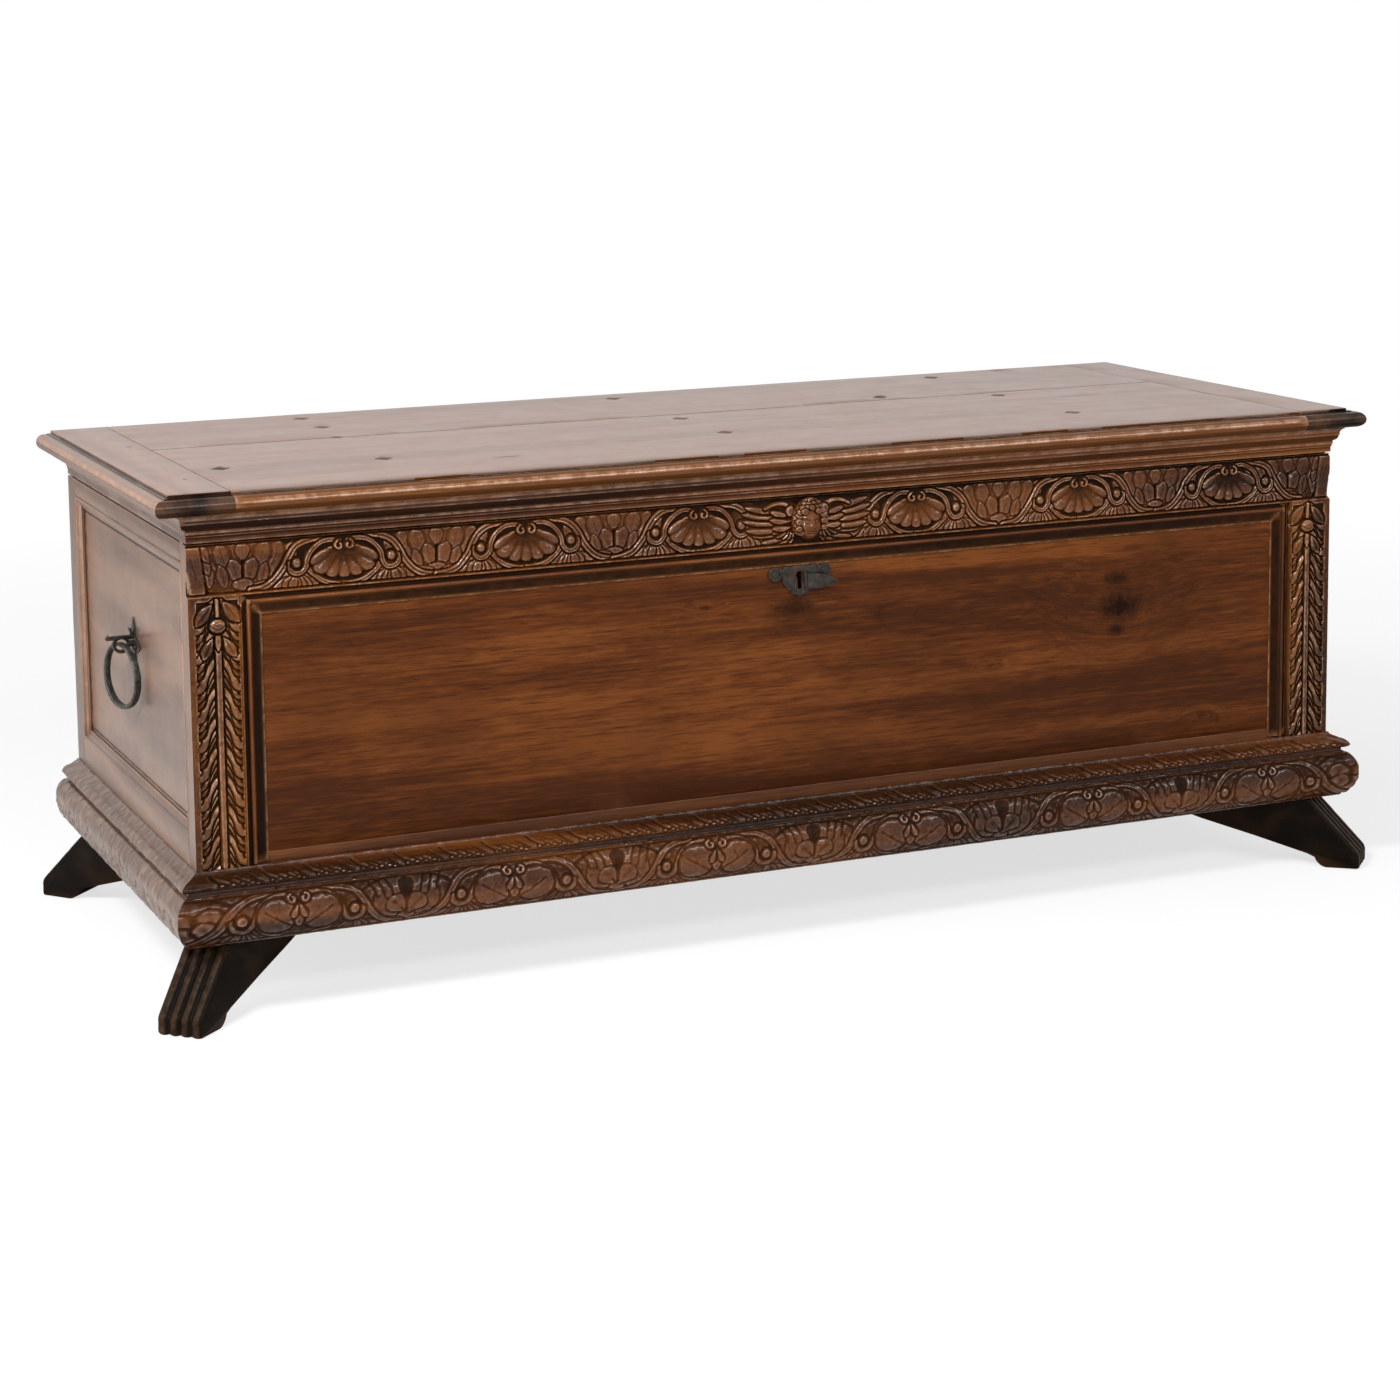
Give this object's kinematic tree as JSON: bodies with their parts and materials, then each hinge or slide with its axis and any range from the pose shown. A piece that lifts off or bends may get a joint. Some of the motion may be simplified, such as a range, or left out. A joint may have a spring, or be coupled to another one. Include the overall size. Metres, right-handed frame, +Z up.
{
  "type": "carved wooden chest",
  "caption": "Long carved walnut storage chest (cassone) with a hinged moulded lid, panelled ends, ring handles, lock and diagonal bracket feet.",
  "frame": {"origin": "centre of the footprint, on the floor under the feet", "axes": "+X along the chest, -Y out of the carved front, +Z up"},
  "size_m": [1.796, 0.756, 0.6665],
  "materials": {
    "walnut_frieze": "waxed, worn",
    "walnut_pilaster": "waxed, worn",
    "walnut_panel": "waxed, worn",
    "walnut_moulding": "waxed, worn",
    "walnut_end": "waxed, worn",
    "walnut_lid": "waxed, worn",
    "walnut_plug": "waxed, worn",
    "walnut_base": "waxed, worn",
    "walnut_foot": "waxed, worn",
    "inner_wood": "bare, aged",
    "forged_iron": "dark forged, worn"
  },
  "bodies": {
    "case": {"frieze_rail": "walnut_frieze", "pilaster_left": "walnut_pilaster", "pilaster_right": "walnut_pilaster", "front_panel": "walnut_panel", "front_bottom_rail": "walnut_panel", "panel_moulding_top": "walnut_moulding", "panel_moulding_left": "walnut_moulding", "panel_moulding_right": "walnut_moulding", "end_panel_left": "walnut_end", "end_panel_right": "walnut_end", "end_back_stile_left": "walnut_end", "end_back_stile_right": "walnut_end", "end_top_rail_left": "walnut_end", "end_top_rail_right": "walnut_end", "end_bottom_rail_left": "walnut_end", "end_bottom_rail_right": "walnut_end", "end_moulding_left": "walnut_end", "end_moulding_right": "walnut_end", "base_moulding_front": "walnut_base", "base_moulding_left": "walnut_base", "base_moulding_right": "walnut_base", "plinth_front": "walnut_base", "plinth_left": "walnut_base", "plinth_right": "walnut_base", "foot_front_left": "walnut_foot", "foot_front_right": "walnut_foot", "foot_back_left": "walnut_foot", "foot_back_right": "walnut_foot", "back_board_upper": "inner_wood", "back_board_lower": "inner_wood", "floor_boards": "inner_wood", "plinth_back": "inner_wood", "corner_blocks": "inner_wood", "hinge_case_leaves": "forged_iron", "hinge_pins": "forged_iron", "hinge_case_nails": "forged_iron", "lock_case": "forged_iron", "escutcheon": "forged_iron", "escutcheon_nails": "forged_iron", "cover_pin": "forged_iron", "handle_staple_left": "forged_iron", "handle_staple_right": "forged_iron", "handle_plate_left": "forged_iron", "handle_plate_right": "forged_iron"},
    "lid": {"lid_front_board": "walnut_lid", "lid_back_board": "walnut_lid", "lid_clamp_left": "walnut_lid", "lid_clamp_right": "walnut_lid", "lid_plugs": "walnut_plug", "lid_battens": "inner_wood", "cornice_front": "walnut_lid", "cornice_left": "walnut_lid", "cornice_right": "walnut_lid", "hinge_lid_leaves": "forged_iron", "hinge_lid_nails": "forged_iron", "lid_staple": "forged_iron"},
    "ring_left": {"handle_ring_left": "forged_iron"},
    "ring_right": {"handle_ring_right": "forged_iron"},
    "keyhole_cover_leaf": {"keyhole_cover": "forged_iron"},
    "bolt": {"lock_bolt": "forged_iron"}
  },
  "joints": [
    {"name": "lid_hinge", "type": "hinge", "parent": "case", "child": "lid", "pos_m": [0, 0.3433, 0.641], "axis": [-1, 0, 0], "range_deg": [0, 100]},
    {"name": "ring_left_swing", "type": "hinge", "parent": "case", "child": "ring_left", "pos_m": [-0.8455, 0.011, 0.42], "axis": [-0.2588, 0.9659, 0], "range_deg": [-2, 165]},
    {"name": "ring_right_swing", "type": "hinge", "parent": "case", "child": "ring_right", "pos_m": [0.8455, 0.011, 0.42], "axis": [-0.2588, -0.9659, 0], "range_deg": [-2, 165]},
    {"name": "keyhole_cover_swing", "type": "hinge", "parent": "case", "child": "keyhole_cover_leaf", "pos_m": [0.003, -0.3099, 0.486], "axis": [0, 0, 1], "range_deg": [-157, 16]},
    {"name": "bolt_throw", "type": "slide", "parent": "case", "child": "bolt", "axis": [1, 0, 0], "range_m": [0, 0.014]}
  ]
}
